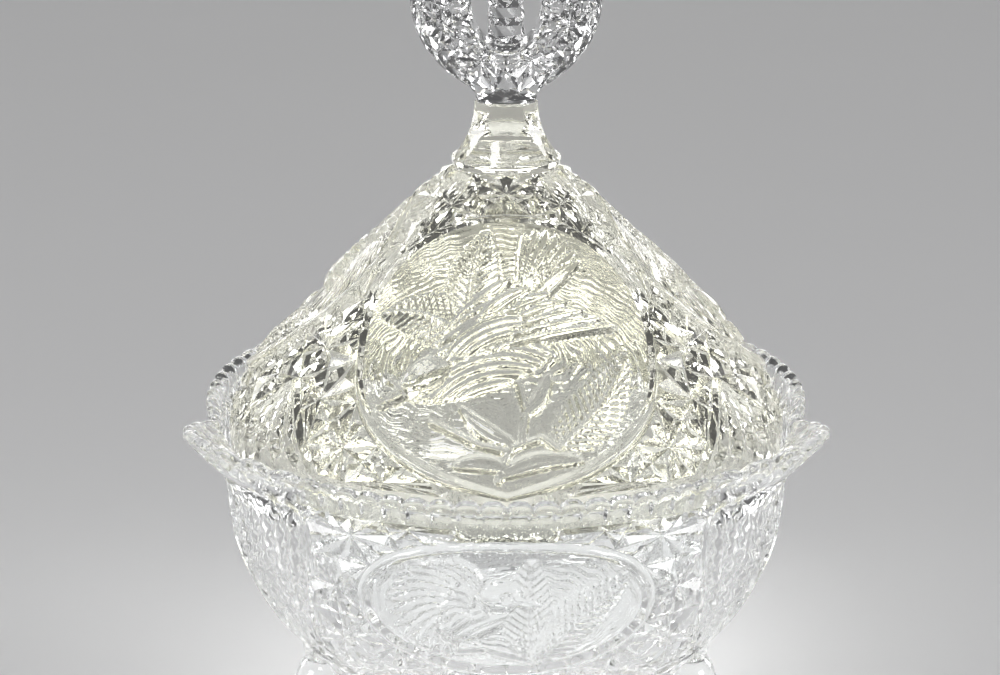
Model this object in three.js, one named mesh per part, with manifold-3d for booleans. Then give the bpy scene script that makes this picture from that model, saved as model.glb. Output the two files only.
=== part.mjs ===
// Footed covered candy dish in pressed glass: a lobed bowl on three knob feet, a conical lid that
// lifts off, and a ring finial with a faceted spindle standing in its hole.
// Millimetres, +Z up. The dish has three equal sides: a bird medallion faces the front (-Y), and
// fans of flutes rise over the feet, half way between the medallions.
import * as THREE from 'three';
import { mergeVertices } from 'three/addons/utils/BufferGeometryUtils.js';
import Module from 'manifold-3d';

const wasm = await Module();
wasm.setup();

// ---- driving dimensions ----
const sides = 3;
const gap = 0.3;                // clearance between pieces that touch

const wallRadius = 75;          // bowl wall just under its lip
const lipFoot = 61;             // height where the lip starts to flare
const dipRadius = 79;           // rim between a medallion lobe and a fan lobe
const dipHeight = 79;
const medallionLobe = { reach: 3, rise: 1.8, halfAngle: 0.74 };
const fanLobe = { reach: 13.5, rise: 6.5, halfAngle: 0.33 };
const ledgeHeight = 67.2;       // the lid rests here
const ledgeInner = 70.3;
const collarRadius = 75;        // upright collar around the lid's skirt
const collarTop = 73.5;
const fluteDepth = 1.2;
const fluteHalfAngle = 0.37;
const lipSlope = 0.42;          // how the wall leans out between the flare's foot and the rim
const bowlSegments = 96;

const footRadius = 8.2;
const footCircle = 55;
const footFlat = 5.2;
const footTop = 17;

const lidBase = ledgeHeight + gap;
const lidSegments = 60;
const neckTop = 161.2;
const neckRadius = 7.8;

const ringRadius = 24.6;
const ringCentre = 188.5;
const ringThickness = 14;
const holeHalfWidth = 9;
const holeHalfHeight = 13;
const holeCentre = 187.5;
const spindleRadius = 5;

// The bounding box is centred on the origin, so the dish's axis stands a little in front of it:
// the rim reaches further back, to a fan lobe, than forward, to a medallion lobe.
const rearReach = dipRadius + fanLobe.reach;
const frontReach = dipRadius + medallionLobe.reach;
const axisY = -(rearReach - frontReach) / 2;

// ---- outlines, as (radius, height) ----
const v = (x, y) => new THREE.Vector2(x, y);

const bowlWall = new THREE.SplineCurve([
  v(38, 4.5), v(49.5, 10), v(57.5, 17.5), v(65.2, 27), v(70.9, 38), v(73.8, 48), v(wallRadius, lipFoot),
]);
const bowlInside = new THREE.SplineCurve([
  v(ledgeInner, ledgeHeight), v(69.3, 52), v(65.5, 36), v(57, 23), v(40, 12.5), v(18, 9.4),
]);
const lidOutside = new THREE.SplineCurve([
  v(73.2, lidBase), v(73.8, 75), v(71.7, 82), v(67.2, 90.5), v(54.1, 104), v(39.3, 119.5),
  v(24, 135), v(15.2, 144.5), v(10.6, 151.5), v(8.4, 156.5), v(neckRadius, neckTop),
]);
const lidInside = new THREE.SplineCurve([
  v(69.4, lidBase), v(69.8, 75), v(67.4, 81.5), v(62.6, 89), v(50, 101.5), v(30, 121.5), v(12, 137), v(5, 140),
]);

// ---- lobes and flutes ----
const turn = 2 * Math.PI / sides;

// angle from the nearest medallion centre, from 0 to half a side
function offMedallion(angle) {
  return Math.abs(angle - turn * Math.round(angle / turn));
}

function offFan(angle) {
  return turn / 2 - offMedallion(angle);
}

function swell(offset, halfAngle) {
  return offset < halfAngle ? Math.cos(Math.PI / 2 * offset / halfAngle) ** 1.2 : 0;
}

function rimAt(angle) {
  const near = swell(offMedallion(angle), medallionLobe.halfAngle);
  const fan = swell(offFan(angle), fanLobe.halfAngle);
  return v(
    dipRadius + medallionLobe.reach * near + fanLobe.reach * fan,
    dipHeight + medallionLobe.rise * near + fanLobe.rise * fan,
  );
}

// depth of the V-grooves on the fans: every other rib of the mesh is a groove
function fluteCut(index, angle, height) {
  const across = offFan(angle) < fluteHalfAngle && index % 2 === 1;
  const along = Math.max(0, Math.sin(Math.PI * (height - 14) / (lipFoot - 14)));
  return across ? fluteDepth * Math.min(1, 2 * along) : 0;
}

// ---- solids ----
function solid(geometry) {
  const bare = geometry.toNonIndexed();
  bare.deleteAttribute('normal');
  bare.deleteAttribute('uv');
  const merged = mergeVertices(bare, 1e-4);
  return new wasm.Manifold(new wasm.Mesh({
    numProp: 3,
    vertProperties: new Float32Array(merged.getAttribute('position').array),
    triVerts: new Uint32Array(merged.getIndex().array),
  }));
}

// A turned solid whose outline changes with the angle, made from a lathe of the outline at 0.
function turned(section, segments) {
  const first = section(0, 0);
  const geometry = new THREE.LatheGeometry(first, segments);
  const spots = geometry.getAttribute('position');
  for (let i = 0; i <= segments; i++) {
    const index = i % segments;
    const angle = index / segments * 2 * Math.PI;
    section(index, angle).forEach((p, j) => {
      spots.setXYZ(i * first.length + j, p.x * Math.sin(angle), p.y, p.x * Math.cos(angle));
    });
  }
  return solid(geometry.rotateX(Math.PI / 2));
}

function bowlSection(index, angle) {
  const rim = rimAt(angle);
  const flare = rim.x - dipRadius;
  const wall = bowlWall.getPoints(7).map((p) => v(p.x - fluteCut(index, angle, p.y), p.y));
  const lip = [
    v(wallRadius + 0.5 * (rim.x - wallRadius), lipFoot + 0.45 * (rim.y - lipFoot)),
    v(rim.x - 0.4, rim.y - 4.2),
    v(rim.x, rim.y - 1.4),
    v(rim.x - 1.4, rim.y),
    v(rim.x - 3.4, rim.y - 1.2),
    v(collarRadius + 1 + 0.3 * flare, collarTop + 2.2 + 0.18 * flare),
    v(collarRadius, collarTop),
    v(collarRadius, ledgeHeight),
  ];
  return [v(0, 4.5), ...wall, ...lip, ...bowlInside.getPoints(5), v(0, 9.2)];
}

function lidSection() {
  return [v(0, 140.3), ...lidInside.getPoints(6).reverse(), ...lidOutside.getPoints(11), v(0, neckTop)];
}

function foot(angle) {
  const outline = [
    v(0, 0), v(footFlat, 0), v(7.6, 2.6), v(footRadius, 7), v(7.2, 11.5), v(5, 15), v(0, footTop),
  ];
  const knob = new THREE.LatheGeometry(outline, 20).rotateX(Math.PI / 2);
  return solid(knob.translate(footCircle * Math.sin(angle), -footCircle * Math.cos(angle), 0));
}

// ---- medallion frames: raised oval beads, drawn on the flattened wall ----
const beadRadius = 1.2;
const beadSteps = 28;

function frameRing(spotAt, angle) {
  const path = [];
  for (let i = 0; i < beadSteps; i++) {
    const { theta, radius, height } = spotAt(2 * Math.PI * i / beadSteps);
    const around = theta + angle;
    path.push(new THREE.Vector3(radius * Math.sin(around), -radius * Math.cos(around), height));
  }
  const loop = new THREE.CatmullRomCurve3(path, true);
  return solid(new THREE.TubeGeometry(loop, beadSteps, beadRadius, 5, true));
}

const bowlFrame = { halfWidth: 38, centre: 47.5, halfHeight: 19.5 };

function bowlFrameSpot(t) {
  const height = bowlFrame.centre + bowlFrame.halfHeight * Math.sin(t);
  const above = Math.max(0, height - lipFoot);
  const radius = radiusAt(bowlWall, height) + lipSlope * above;
  return { theta: bowlFrame.halfWidth * Math.cos(t) / radius, radius, height };
}

// the lid's cone unrolls to a fan: distances from its point, measured down the slant
const lidFrame = { halfWidth: 40, centre: 70.4, halfHeight: 37.7, upperPower: 2.8, lowerPower: 2.1 };
const coneShare = Math.SQRT1_2;
const pointToNeck = 3;          // slant from the cone's point to the neck's top
const lidSlant = lidOutside.getLength();

function lidFrameSpot(t) {
  const power = Math.sin(t) > 0 ? lidFrame.upperPower : lidFrame.lowerPower;
  const across = lidFrame.halfWidth * Math.sign(Math.cos(t)) * Math.abs(Math.cos(t)) ** (2 / power);
  const rise = lidFrame.halfHeight * Math.sign(Math.sin(t)) * Math.abs(Math.sin(t)) ** (2 / power);
  const down = lidFrame.centre - rise;
  const slant = Math.hypot(across, down);
  const spot = lidOutside.getPointAt(1 - (slant - pointToNeck) / lidSlant);
  return { theta: Math.atan2(across, down) / coneShare, radius: spot.x, height: spot.y };
}

// radius of an outline at a height, by halving
function radiusAt(curve, height) {
  let low = 0;
  let high = 1;
  for (let i = 0; i < 30; i++) {
    const middle = (low + high) / 2;
    if (curve.getPoint(middle).y < height) low = middle;
    else high = middle;
  }
  return curve.getPoint(low).x;
}

// ---- pieces ----
function bowl() {
  let body = turned(bowlSection, bowlSegments);
  for (let side = 0; side < sides; side++) {
    body = body.add(foot(turn * (side + 0.5)));
    body = body.add(frameRing(bowlFrameSpot, turn * side));
  }
  return body;
}

function lid() {
  let body = turned(lidSection, lidSegments);
  for (let side = 0; side < sides; side++) body = body.add(frameRing(lidFrameSpot, turn * side));
  return body;
}

// an oval cylinder along Y, standing in the ring's plane
function oval(halfWidth, halfHeight, length) {
  const cylinder = new THREE.CylinderGeometry(1, 1, length, 40);
  return solid(cylinder.scale(halfWidth, 1, halfHeight).translate(0, 0, holeCentre));
}

function finialRing() {
  const half = ringThickness / 2;
  const outline = [
    v(0, -half), v(18.5, -half), v(22.6, -4.4), v(ringRadius, -1.2),
    v(ringRadius, 1.2), v(22.6, 4.4), v(18.5, half), v(0, half),
  ];
  const disc = solid(new THREE.LatheGeometry(outline, 48).translate(0, 0, ringCentre));
  const stemTop = ringCentre - ringRadius + 5;
  const stemBase = neckTop + gap;
  const stem = new THREE.CylinderGeometry(neckRadius - 1.2, neckRadius, stemTop - stemBase, 24);
  stem.rotateX(Math.PI / 2).translate(0, 0, (stemTop + stemBase) / 2);
  return disc.add(solid(stem)).subtract(oval(holeHalfWidth, holeHalfHeight, 2 * ringThickness));
}

function finialSpindle() {
  const bottom = holeCentre - holeHalfHeight;
  const top = holeCentre + holeHalfHeight;
  const middle = (bottom + top) / 2;
  const outline = [
    v(0, bottom - 1), v(spindleRadius, bottom - 1), v(spindleRadius, bottom + 2), v(3.6, bottom + 4.5),
    v(spindleRadius, bottom + 7.5), v(4.2, middle), v(spindleRadius, top - 7.5),
    v(3.6, top - 4.5), v(spindleRadius, top - 2), v(spindleRadius, top + 1), v(0, top + 1),
  ];
  const post = solid(new THREE.LatheGeometry(outline, 8).rotateX(Math.PI / 2));
  return post.intersect(oval(holeHalfWidth - gap, holeHalfHeight - gap, 2 * ringThickness));
}

// ---- materials ----
function glass(color) {
  return new THREE.MeshStandardMaterial({
    color, roughness: 0.05, metalness: 0, transparent: true, opacity: 0.45,
  });
}

const clearGlass = glass(0xe9eef0);
const strawGlass = glass(0xe6e6cf);

// ---- assembly ----
function piece(name, body, material) {
  const { numProp, vertProperties, triVerts } = body.getMesh();
  const geometry = new THREE.BufferGeometry();
  if (numProp !== 3) throw new Error(name + ' carries extra vertex values');
  geometry.setAttribute('position', new THREE.BufferAttribute(vertProperties, 3));
  geometry.setIndex(new THREE.BufferAttribute(triVerts, 1));
  geometry.computeVertexNormals();
  const mesh = new THREE.Mesh(geometry, material);
  mesh.name = name;
  return mesh;
}

const dish = new THREE.Group();
dish.position.y = axisY;
dish.add(piece('bowl', bowl(), clearGlass));

const cover = new THREE.Group();
cover.add(piece('lid', lid(), strawGlass));
cover.add(piece('finial_ring', finialRing(), clearGlass.clone()));
cover.add(piece('finial_spindle', finialSpindle(), clearGlass.clone()));
dish.add(cover);

export default dish;
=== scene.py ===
import math

import bmesh
import bpy
import numpy as np
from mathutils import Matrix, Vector
from mathutils.geometry import delaunay_2d_cdt


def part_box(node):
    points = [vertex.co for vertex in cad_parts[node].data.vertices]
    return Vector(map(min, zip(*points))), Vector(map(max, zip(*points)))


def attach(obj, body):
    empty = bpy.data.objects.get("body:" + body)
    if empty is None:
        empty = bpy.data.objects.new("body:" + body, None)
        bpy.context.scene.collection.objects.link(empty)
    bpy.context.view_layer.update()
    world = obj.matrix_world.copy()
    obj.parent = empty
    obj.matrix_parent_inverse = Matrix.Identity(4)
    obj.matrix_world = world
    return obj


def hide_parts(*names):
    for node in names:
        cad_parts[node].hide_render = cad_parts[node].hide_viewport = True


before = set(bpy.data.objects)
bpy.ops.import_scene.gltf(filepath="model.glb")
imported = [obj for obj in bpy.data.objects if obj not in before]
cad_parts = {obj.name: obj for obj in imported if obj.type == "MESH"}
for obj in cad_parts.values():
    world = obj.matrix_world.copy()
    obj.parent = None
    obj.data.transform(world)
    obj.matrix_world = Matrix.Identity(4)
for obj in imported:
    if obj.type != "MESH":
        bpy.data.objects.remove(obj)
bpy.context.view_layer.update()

# The glass is worked out in millimetres from the dish's own axis, with angles from the front (-Y),
# and turned into metres in the frame when a mesh is made.
MM = 0.001
AXIS_Y = sum(corner[1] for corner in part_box("finial_ring")) / 2
SIDES = 3
TURN = 2 * math.pi / SIDES
HALF_TURN = TURN / 2
WELD = 0.008                    # points nearer than this become one, in millimetres
CREASE = math.radians(38)       # edges bent by more than this stay sharp
SOFTBOX_CONE = math.radians(45)  # half the angle of the light that a softbox's grid lets out


# ---- camera, floor and light ----
def link(name, data):
    thing = bpy.data.objects.new(name, data)
    bpy.context.scene.collection.objects.link(thing)
    return thing


def aim(thing, place, target):
    thing.location = place
    thing.rotation_mode = "QUATERNION"
    thing.rotation_quaternion = (target - Vector(place)).to_track_quat("-Z", "Y")


def add_camera():
    data = bpy.data.cameras.new("camera")
    data.sensor_width = 36
    data.lens = 115.45
    camera = link("camera", data)
    elevation = math.radians(18)
    target = Vector((-0.0016, AXIS_Y, 0.0966))
    distance = 0.85
    away = Vector((0, -math.cos(elevation), math.sin(elevation)))
    aim(camera, target + distance * away, target)
    bpy.context.scene.camera = camera


def add_softbox(name, place, size, radiance):
    """A panel of light aimed at the dish. Its grid narrows the light to a cone."""
    data = bpy.data.lights.new(name, "AREA")
    data.shape = "RECTANGLE"
    data.size, data.size_y = size
    data.spread = 2 * SOFTBOX_CONE
    in_cone = 1 - SOFTBOX_CONE / math.tan(SOFTBOX_CONE)
    data.energy = radiance * math.pi * size[0] * size[1] * in_cone
    softbox = link(name, data)
    softbox.visible_camera = False
    aim(softbox, place, Vector((0, 0, 0.1)))


def add_studio():
    add_softbox("key", (-0.5, -0.85, 1.15), (0.42, 0.3), 12)
    add_softbox("left_front", (-1.4, -0.66, 0.44), (0.62, 0.76), 9)
    add_softbox("right_front", (1.4, -0.66, 0.44), (0.62, 0.76), 9)
    add_softbox("left_back", (-1.35, 1.0, 0.38), (0.5, 0.64), 7)
    add_softbox("right_back", (1.35, 1.0, 0.38), (0.5, 0.64), 7)
    add_softbox("back", (0, 2.2, 0.36), (2.2, 0.34), 4.5)
    world = bpy.data.worlds.new("world")
    world.use_nodes = True
    world.node_tree.nodes["Background"].inputs["Color"].default_value = (0.1, 0.1, 0.102, 1)
    bpy.context.scene.world = world


def add_floor():
    mesh = bpy.data.meshes.new("floor")
    reach = 9.0
    corners = [(-reach, -reach, 0), (reach, -reach, 0), (reach, reach, 0), (-reach, reach, 0)]
    mesh.from_pydata(corners, [], [(0, 1, 2, 3)])
    floor = link("floor", mesh)
    mesh.materials.append(floor_material())


# ---- materials ----
def new_material(name):
    material = bpy.data.materials.new(name)
    material.use_nodes = True
    nodes = material.node_tree.nodes
    return material, nodes, material.node_tree.links, nodes["Principled BSDF"]


def noise(nodes, links, scale, detail):
    coordinates = nodes.new("ShaderNodeTexCoord")
    texture = nodes.new("ShaderNodeTexNoise")
    texture.inputs["Scale"].default_value = scale
    texture.inputs["Detail"].default_value = detail
    links.new(coordinates.outputs["Object"], texture.inputs["Vector"])
    return texture.outputs["Fac"]


def between(nodes, links, factor, low, high):
    """A number that runs from low to high as a noise does."""
    spread = nodes.new("ShaderNodeMapRange")
    spread.inputs["From Min"].default_value = 0.3
    spread.inputs["From Max"].default_value = 0.7
    spread.inputs["To Min"].default_value = low
    spread.inputs["To Max"].default_value = high
    links.new(factor, spread.inputs["Value"])
    return spread.outputs["Result"]


def two_tone(nodes, links, factor, first, second):
    mix = nodes.new("ShaderNodeMix")
    mix.data_type = "RGBA"
    mix.inputs["A"].default_value = (*first, 1)
    mix.inputs["B"].default_value = (*second, 1)
    links.new(factor, mix.inputs["Factor"])
    return mix.outputs["Result"]


def glass_material(name, first, second):
    """Fire-polished pressed glass: clear, very slightly wavy, with a tint that drifts a little."""
    material, nodes, links, shader = new_material(name)
    shader.inputs["Transmission Weight"].default_value = 1
    shader.inputs["IOR"].default_value = 1.52
    drift = noise(nodes, links, 22, 2)
    links.new(two_tone(nodes, links, drift, first, second), shader.inputs["Base Color"])
    links.new(between(nodes, links, noise(nodes, links, 60, 3), 0.0, 0.03), shader.inputs["Roughness"])
    bump = nodes.new("ShaderNodeBump")
    bump.inputs["Strength"].default_value = 0.25
    bump.inputs["Distance"].default_value = 0.0002
    links.new(noise(nodes, links, 420, 2), bump.inputs["Height"])
    links.new(bump.outputs["Normal"], shader.inputs["Normal"])
    let_lamps_through(nodes, links, shader)
    return material


def let_lamps_through(nodes, links, shader):
    """Clear glass hardly dims the lamps, so its shadow is a faint one."""
    path = nodes.new("ShaderNodeLightPath")
    veil = nodes.new("ShaderNodeBsdfTransparent")
    veil.inputs["Color"].default_value = (0.96, 0.96, 0.96, 1)
    mix = nodes.new("ShaderNodeMixShader")
    links.new(path.outputs["Is Shadow Ray"], mix.inputs[0])
    links.new(shader.outputs["BSDF"], mix.inputs[1])
    links.new(veil.outputs["BSDF"], mix.inputs[2])
    links.new(mix.outputs["Shader"], nodes["Material Output"].inputs["Surface"])


def floor_material():
    material, nodes, links, shader = new_material("pale_floor")
    grain = noise(nodes, links, 3, 4)
    links.new(two_tone(nodes, links, grain, (0.76, 0.76, 0.765), (0.8, 0.8, 0.805)),
              shader.inputs["Base Color"])
    shader.inputs["Roughness"].default_value = 0.55
    return material


# ---- outlines, as (radius, height), the same as the solid model's ----
def smooth_curve(points, steps=24):
    """A curve through the points (Catmull-Rom, its end points doubled), as many short steps."""
    ends = np.array([points[0], *points, points[-1]], float)
    t = np.linspace(0, 1, steps, endpoint=False)[:, None]
    parts = []
    for a, b, c, d in zip(ends, ends[1:], ends[2:], ends[3:]):
        parts.append(b + (c - a) * t / 2 + (a - 2.5 * b + 2 * c - d / 2) * t**2
                     + (1.5 * (b - c) + (d - a) / 2) * t**3)
    return np.vstack([*parts, ends[-1:]])


class Outline:
    """A turned outline, read by the distance along it."""

    def __init__(self, points):
        self.fine = smooth_curve(points)
        steps = np.hypot(*np.diff(self.fine, axis=0).T)
        self.along = np.concatenate([[0], np.cumsum(steps)])
        self.length = self.along[-1]
        self.slope = np.gradient(self.fine, self.along, axis=0)

    def at(self, distance):
        """Radius, height, and the two parts of the direction there."""
        columns = (*self.fine.T, *self.slope.T)
        return [np.interp(distance, self.along, column) for column in columns]

    def rows(self, count):
        return [self.at(distance)[:2] for distance in np.linspace(0, self.length, count)]


LID_BASE = 67.5
NECK_TOP = 161.2
lid_outside = Outline([
    (7.8, NECK_TOP), (8.4, 156.5), (10.6, 151.5), (15.2, 144.5), (24, 135), (39.3, 119.5),
    (54.1, 104), (67.2, 90.5), (71.7, 82), (73.8, 75), (73.2, LID_BASE),
])
lid_inside = Outline([
    (69.4, LID_BASE), (69.8, 75), (67.4, 81.5), (62.6, 89), (50, 101.5), (30, 121.5), (12, 137),
    (5, 140),
])

LIP_FOOT = 61
BOWL_BOTTOM = 4.5
bowl_wall = Outline([
    (38, BOWL_BOTTOM), (49.5, 10), (57.5, 17.5), (65.2, 27), (70.9, 38), (73.8, 48), (75, LIP_FOOT),
])
bowl_inside = Outline([(70.3, 67.2), (69.3, 52), (65.5, 36), (57, 23), (40, 12.5), (18, 9.4)])


def swell(offset, half_angle):
    return np.cos(np.pi / 2 * np.minimum(offset / half_angle, 1)) ** 1.2


def rim_at(theta):
    """Radius and height of the bowl's lobed rim."""
    off_medallion = np.abs(theta - TURN * np.round(theta / TURN))
    near = swell(off_medallion, 0.74)
    fan = swell(HALF_TURN - off_medallion, 0.33)
    return 79 + 3 * near + 13.5 * fan, 79 + 1.8 * near + 6.5 * fan


def upright(radius, theta, height):
    """Points in space, from a radius, an angle and a height."""
    radius, theta, height = np.broadcast_arrays(radius, theta, height)
    return np.stack([radius * np.sin(theta), -radius * np.cos(theta), height], axis=-1)


def circle(count):
    return np.linspace(0, 2 * math.pi, count, endpoint=False)


def turned(points, angle):
    cos, sin = math.cos(angle), math.sin(angle)
    return points @ np.array([[cos, sin, 0], [-sin, cos, 0], [0, 0, 1]])


# ---- a skin gathers the faces of one piece ----
class Skin:
    def __init__(self):
        self.points, self.faces, self.smooth, self.sharp, self.count = [], [], [], [], 0

    def patch(self, points, faces, smooth, sharp=()):
        self.sharp += [(int(a) + self.count, int(b) + self.count) for a, b in sharp]
        self.faces += [tuple(int(i) + self.count for i in face) for face in faces]
        self.smooth += [bool(flag) for flag in smooth]
        self.points.append(points)
        self.count += len(points)

    def wall(self, sheet, border, place):
        """One side's sheet, bent into place and turned to each of the sides."""
        plane, lifts, soft, faces = sheet.triangles(border)
        points = place(plane, lifts)
        for side in range(SIDES):
            self.patch(turned(points, side * TURN), faces, soft[faces].any(axis=1), sheet.sharp)

    def rings(self, rings, smooth=True):
        """Join closed rings of equal count, one after the other."""
        size = len(rings[0])
        faces = []
        for level in range(len(rings) - 1):
            low, high = level * size, (level + 1) * size
            for i in range(size):
                j = (i + 1) % size
                faces.append((low + i, low + j, high + j, high + i))
        self.patch(np.vstack(rings), faces, [smooth] * len(faces))

    def cap(self, ring, centre):
        size = len(ring)
        faces = [(i, (i + 1) % size, size) for i in range(size)]
        self.patch(np.vstack([ring, [centre]]), faces, [True] * size)

    def piece(self, name, material):
        """The closed mesh, welded where its parts meet, with its faces pointing out."""
        points = np.vstack(self.points) * MM + np.array([0, AXIS_Y, 0])
        mesh = bpy.data.meshes.new(name)
        mesh.from_pydata(points.tolist(), [], self.faces)
        mesh.polygons.foreach_set("use_smooth", self.smooth)
        work = bmesh.new()
        work.from_mesh(mesh)
        work.verts.ensure_lookup_table()
        for a, b in self.sharp:
            edge = work.edges.get((work.verts[a], work.verts[b]))
            if edge:
                edge.smooth = False
        bmesh.ops.remove_doubles(work, verts=work.verts, dist=WELD * MM)
        bmesh.ops.recalc_face_normals(work, faces=work.faces)
        for edge in work.edges:
            if len(edge.link_faces) == 2 and edge.calc_face_angle() > CREASE:
                edge.smooth = False
        work.to_mesh(mesh)
        work.free()
        mesh.materials.append(material)
        return link(name, mesh)


# ---- a sheet is a wall laid flat ----
class Sheet:
    """Points and creases on a flattened wall. A point's lift is its height off the wall."""

    def __init__(self):
        self.spots, self.lifts, self.soft = [], [], []
        self.creases, self.known, self.framed, self.ridges = [], {}, set(), []

    def spot(self, place, lift, soft=False):
        key = (round(place[0], 3), round(place[1], 3))
        if key not in self.known:
            self.known[key] = len(self.spots)
            self.spots.append((float(place[0]), float(place[1])))
            self.lifts.append(float(lift))
            self.soft.append(soft)
        return self.known[key]

    def crease(self, ids, closed=False):
        following = ids[1:] + ids[:1] if closed else ids[1:]
        self.creases += [pair for pair in zip(ids, following) if pair[0] != pair[1]]

    def ridge(self, ids):
        """A crease that stays sharp between two rounded surfaces."""
        self.crease(ids)
        self.ridges += list(zip(ids, ids[1:]))

    def line(self, places, lift, soft=True, closed=False):
        lifts = np.broadcast_to(lift, len(places))
        ids = [self.spot(place, height, soft) for place, height in zip(places, lifts)]
        self.crease(ids, closed)
        return ids

    def star(self, hub, ends, closed=True, deep=-1.5, edge=-1.0, top=0.15):
        """Grooves run from the hub to each end, with a raised three-sided point between two."""
        centre = self.spot(hub, deep)
        hub = np.array(hub)
        following = ends[1:] + ends[:1] if closed else ends[1:]
        for a, b in zip(ends, following):
            first, second = self.spot(a, edge), self.spot(b, edge)
            peak = self.spot(incentre(hub, np.array(a), np.array(b)), top)
            self.crease([peak, centre, first, peak, second, centre])
            if not {first, second} <= self.framed:
                self.crease([first, second])

    def triangles(self, border):
        """Triangles that keep every crease, inside the closed border."""
        places = [Vector(spot) for spot in self.spots]
        found, _, faces, origin, _, _ = delaunay_2d_cdt(places, self.creases, [border], 1, 1e-5)
        spots = np.array(self.spots)
        plane = np.array([tuple(place) for place in found])
        source, made_from = [], {}
        for i, (place, group) in enumerate(zip(plane, origin)):
            nearest = group[0] if group else int(np.argmin(np.hypot(*(spots - place).T)))
            source.append(nearest)
            if group:
                place[:] = spots[nearest]
            made_from.update((old, i) for old in group)
        self.sharp = [(made_from[a], made_from[b]) for a, b in self.ridges
                      if a in made_from and b in made_from]
        return plane, np.array(self.lifts)[source], np.array(self.soft)[source], np.array(faces)

    def on_line(self, measure, value, order, backwards=False):
        """The ids of the points whose measure has this value, in order."""
        ids = [i for i, spot in enumerate(self.spots) if abs(measure(spot) - value) < 1e-6]
        return sorted(ids, key=lambda i: order(self.spots[i]), reverse=backwards)


def incentre(a, b, c):
    sides = np.array([np.hypot(*(b - c)), np.hypot(*(c - a)), np.hypot(*(a - b))])
    return (sides[0] * a + sides[1] * b + sides[2] * c) / sides.sum()


def mirrored(place):
    return (-place[0], place[1])


FRAME_EDGE = -0.8               # lift of a medallion's outer edge
PICTURE_GROUND = -0.65          # lift of the ground that a picture stands on
PICTURE_SPACING = 0.52
BLUR = 0.28                     # a picture is averaged over shifts of this length


class Medallion:
    """A raised oval rim on a sheet, with a picture inside it. up is +1 where y runs upwards."""

    def __init__(self, sheet, centre, half_size, powers, up, tip=0.0):
        self.sheet, self.centre, self.half_size = sheet, centre, half_size
        self.powers, self.up, self.tip = powers, up, tip
        self.nodes = {}

    def place(self, t):
        power = np.where(np.sin(t) > 0, *self.powers)
        cos, sin = np.cos(t), np.sin(t)
        across = self.half_size[0] * np.sign(cos) * np.abs(cos) ** (2 / power)
        rise = self.half_size[1] * np.sign(sin) * np.abs(sin) ** (2 / power)
        rise = rise - self.tip * np.where(sin < 0, np.maximum(0, 1 - np.abs(across) / 14) ** 2, 0)
        return np.stack([across, self.centre + self.up * rise], axis=-1)

    def node(self, guess):
        """The point of the rim's outer edge nearest to a guess."""
        t = np.linspace(-np.pi, np.pi, 7201)
        best = t[np.argmin(np.hypot(*(self.place(t) - guess).T))]
        return self.keep(best)

    def keep(self, t):
        place = tuple(self.place(np.array(t)))
        self.nodes[place] = t
        return place

    def mirror_nodes(self):
        """Give each node on the right its twin on the left."""
        for t in list(self.nodes.values()):
            self.keep(math.pi - t if t > 0 else -math.pi - t)

    def middle(self, a, b):
        if a in self.nodes and b in self.nodes:
            return self.keep((self.nodes[a] + self.nodes[b]) / 2)
        return ((a[0] + b[0]) / 2, (a[1] + b[1]) / 2)

    def halved(self, corners, closed=True):
        """The corners with the middle of each edge put between them."""
        following = corners[1:] + corners[:1] if closed else corners[1:]
        ends = []
        for a, b in zip(corners, following):
            ends += [a, self.middle(a, b)]
        return ends if closed else [*ends, corners[-1]]

    def ring(self, t, inset, width):
        """Points inside the rim's outer edge by a share of its width."""
        ahead, behind = self.place(t + 1e-3), self.place(t - 1e-3)
        run = ahead - behind
        run /= np.hypot(*run.T)[:, None]
        inward = self.up * np.stack([-run[:, 1], run[:, 0]], axis=-1)
        return self.place(t) + inset * width(t)[:, None] * inward

    def edge(self, lift):
        """The outer edge, through every node that the stars share with it."""
        held = sorted(self.nodes.values())
        spread = list(np.linspace(-np.pi, np.pi, 150, endpoint=False))
        close = 0.012
        t = sorted(held + [s for s in spread if min(abs(s - h) for h in held) > close])
        ids = self.sheet.line(self.place(np.array(t)), lift, soft=False, closed=True)
        self.sheet.framed.update(ids)

    def bead(self, width, section, picture, floor, spacing):
        """The rounded rim and the picture inside it."""
        t = np.linspace(-np.pi, np.pi, 180, endpoint=False)
        for inset, lift in section:
            inner = self.ring(t, inset, width)
            self.sheet.line(inner, lift, closed=True)
        field = self.lattice(inner, spacing)
        x, y = field[:, 0], self.up * (field[:, 1] - self.centre)
        shifts = ((0, 0), (BLUR, 0), (-BLUR, 0), (0, BLUR), (0, -BLUR))
        lifts = floor + sum(picture(x + a, y + b) for a, b in shifts) / len(shifts)
        for place, lift in zip(field, lifts):
            self.sheet.spot(place, lift, soft=True)

    def lattice(self, loop, spacing):
        """Points of an even three-way lattice that lie clear inside a loop."""
        low, high = loop.min(axis=0), loop.max(axis=0)
        rows = np.arange(low[1], high[1], spacing * 0.866)
        parts = []
        for i, y in enumerate(rows):
            x = np.arange(low[0] + (i % 2) * spacing / 2, high[0], spacing)
            parts.append(np.stack([x, np.full_like(x, y)], axis=-1))
        field = np.vstack(parts)
        following = np.roll(loop, -1, axis=0)
        inside = np.zeros(len(field), bool)
        clear = np.full(len(field), np.inf)
        for a, b in zip(loop, following):
            spans = (a[1] > field[:, 1]) != (b[1] > field[:, 1])
            with np.errstate(divide="ignore", invalid="ignore"):
                cross = a[0] + (field[:, 1] - a[1]) * (b[0] - a[0]) / (b[1] - a[1])
            inside ^= spans & (field[:, 0] < cross)
            clear = np.minimum(clear, np.hypot(*(field - a).T))
        return field[inside & (clear > spacing * 0.9)]


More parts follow.
